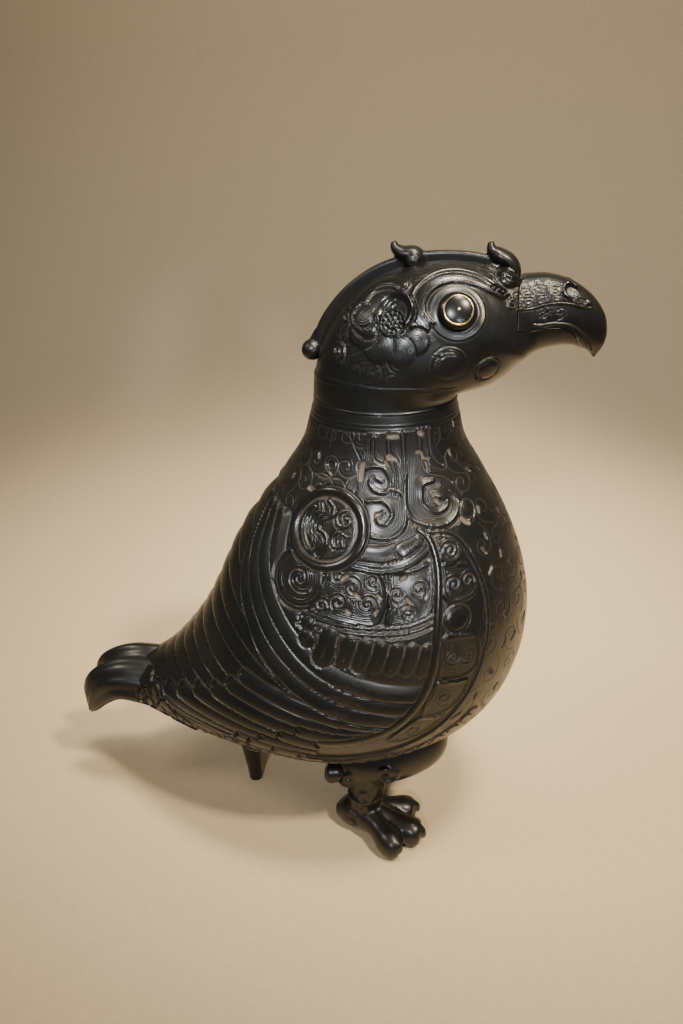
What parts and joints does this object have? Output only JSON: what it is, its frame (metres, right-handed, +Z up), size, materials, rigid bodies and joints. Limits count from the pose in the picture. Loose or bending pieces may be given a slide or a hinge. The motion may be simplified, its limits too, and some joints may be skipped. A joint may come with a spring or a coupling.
{
  "type": "inlaid wine vessel",
  "caption": "Bird-shaped cast bronze wine vessel on two legs and a rear prop, with a lift-off head lid, hinged upper beak over a spout and gold-inlaid eyes.",
  "frame": {"origin": "centre of the bounding box at the level the feet stand on", "axes": "+X towards the beak, +Y towards the bird's left, +Z up"},
  "size_m": [0.2314, 0.1196, 0.265],
  "materials": {
    "bronze": "dark brown bronze patina, satin",
    "dark_bronze": "near-black bronze patina, polished by handling",
    "gold": "polished gold inlay"
  },
  "bodies": {
    "vessel": {"vessel": "bronze", "head_lid": "dark_bronze", "beak_pin": "bronze", "eye_ring_right": "gold", "eye_ring_left": "gold", "pupil_right": "gold", "pupil_left": "gold"},
    "beak": {"upper_beak": "dark_bronze"}
  },
  "joints": [
    {"name": "beak_hinge", "type": "hinge", "parent": "vessel", "child": "beak", "pos_m": [0.08621, 0, 0.2484], "axis": [0, -1, 0], "range_deg": [0, 28]}
  ]
}
